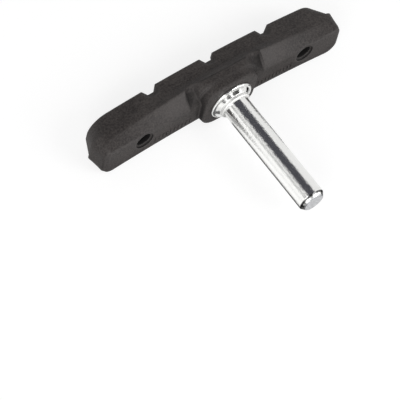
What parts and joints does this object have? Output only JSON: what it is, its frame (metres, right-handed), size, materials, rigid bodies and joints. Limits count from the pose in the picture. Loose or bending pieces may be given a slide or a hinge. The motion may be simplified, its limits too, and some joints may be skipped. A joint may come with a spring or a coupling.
{
  "type": "bicycle rim brake pad",
  "caption": "Moulded rubber rim brake pad, curved along the wheel, with grooves across its braking face and a smooth plated steel post standing out of a boss on its back.",
  "frame": {"origin": "on the axis of the post, where the plain post leaves its flange", "axes": "+X along the pad, +Y out of the braking face, so the post points along -Y, and +Z across the pad, away from the wheel's hub"},
  "size_m": [0.0738, 0.0455, 0.0158],
  "materials": {
    "brake_rubber": "matte moulded",
    "plated_steel": "bright zinc plated",
    "bare_steel": "as rolled"
  },
  "bodies": {
    "root": {"brake_block": "brake_rubber", "post": "plated_steel", "backing_plate": "bare_steel"}
  },
  "joints": []
}
